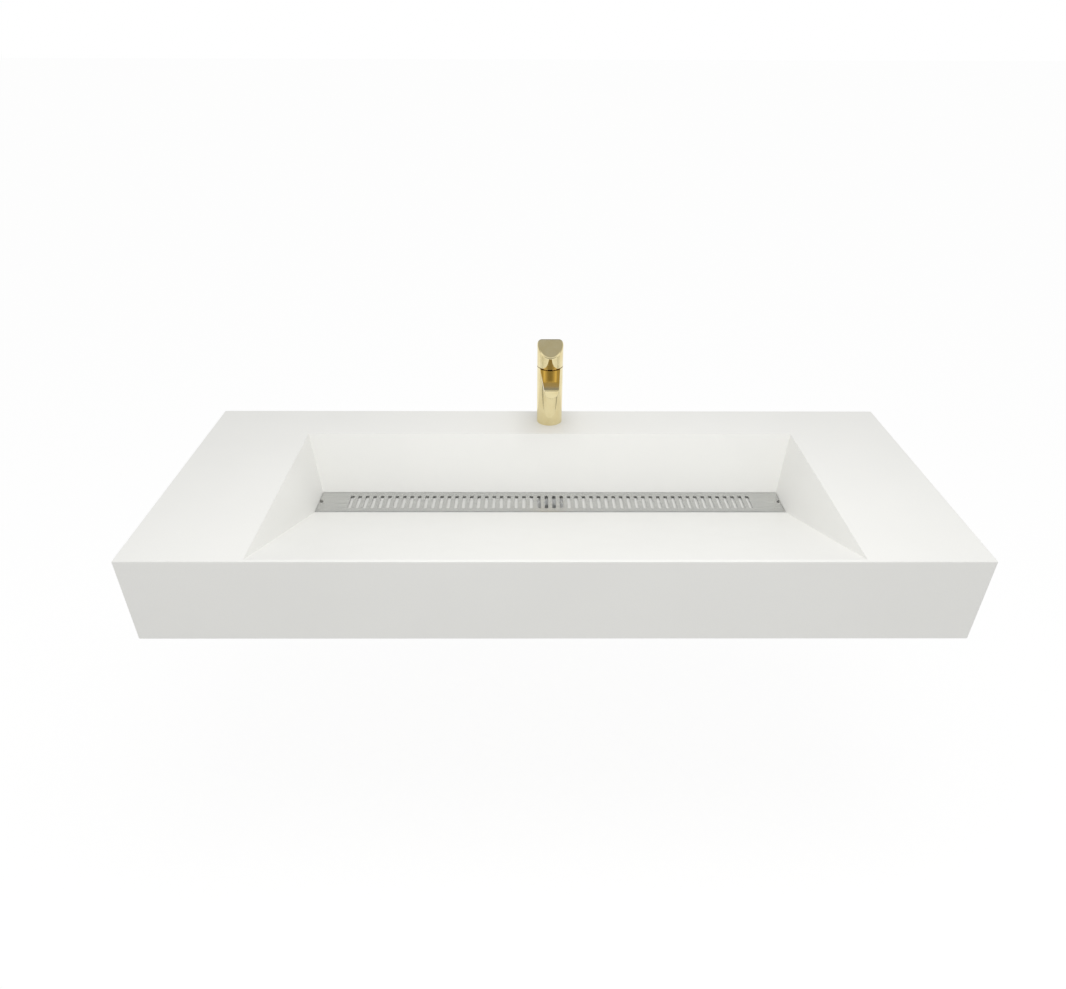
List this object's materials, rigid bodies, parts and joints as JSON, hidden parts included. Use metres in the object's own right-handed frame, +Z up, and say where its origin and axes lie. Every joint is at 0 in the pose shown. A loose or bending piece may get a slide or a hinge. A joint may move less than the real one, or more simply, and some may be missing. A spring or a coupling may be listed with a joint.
{
  "type": "vanity top with sink",
  "caption": "Wall-hung vanity top of bonded sheet with a ramped basin, a slotted lift-out drain cover and a single-lever mixer tap on its rear ledge.",
  "frame": {"origin": "centre of the four wall-bolt slots, in the plane of the wall", "axes": "+X right for someone standing before the basin, +Y into the wall, +Z up"},
  "size_m": [1.2, 0.46, 0.397],
  "materials": {
    "solid_surface": "matte",
    "plywood": "matte",
    "bracket_steel": "satin",
    "zinc_steel": "satin",
    "raw_brass": "satin",
    "waste_chrome": "polished",
    "black_rubber": "matte",
    "pale_silicone": "matte",
    "nylon": "matte",
    "cover_steel": "polished",
    "gold": "polished"
  },
  "bodies": {
    "top": {"left_deck": "solid_surface", "right_deck": "solid_surface", "rear_deck": "solid_surface", "front_apron": "solid_surface", "left_apron": "solid_surface", "right_apron": "solid_surface", "ramp": "solid_surface", "basin_rear_wall": "solid_surface", "basin_left_wall": "solid_surface", "basin_right_wall": "solid_surface", "trough_floor": "solid_surface", "trough_front_wall": "solid_surface", "trough_rear_wall": "solid_surface", "trough_left_end": "solid_surface", "trough_right_end": "solid_surface", "left_bearer": "plywood", "right_bearer": "plywood", "left_stretcher": "plywood", "right_stretcher": "plywood", "left_bracket": "bracket_steel", "right_bracket": "bracket_steel", "bracket_screws": "zinc_steel", "bearer_inserts": "raw_brass", "drain_body": "waste_chrome", "tailpiece": "waste_chrome", "drain_backnut": "raw_brass", "flange_gasket": "black_rubber", "lower_gasket": "black_rubber", "friction_washer": "nylon", "tap_body": "gold", "base_seal": "black_rubber", "aerator_housing": "nylon", "aerator_screen": "nylon", "cartridge_case": "nylon", "cartridge_nut": "raw_brass", "fixing_stud": "zinc_steel", "horseshoe_seal": "black_rubber", "horseshoe_plate": "zinc_steel", "fixing_nut": "raw_brass"},
    "swivel": {"swivel_carrier": "nylon"},
    "lever": {"handle": "gold", "lever_stem": "raw_brass", "pivot_pin": "zinc_steel", "grub_screw": "zinc_steel", "screw_plug": "gold"},
    "cover": {"drain_cover": "cover_steel", "cover_studs": "cover_steel", "cover_feet": "pale_silicone"}
  },
  "joints": [
    {"name": "lever_swivel", "type": "hinge", "parent": "top", "child": "swivel", "pos_m": [0, -0.036, 0.174], "axis": [0, 0, 1], "range_deg": [-45, 45]},
    {"name": "lever_lift", "type": "hinge", "parent": "swivel", "child": "lever", "pos_m": [0, -0.036, 0.174], "axis": [-1, 0, 0], "range_deg": [0, 18]},
    {"name": "cover_lift", "type": "slide", "parent": "top", "child": "cover", "axis": [0, 0, 1], "range_m": [0, 0.15]}
  ]
}
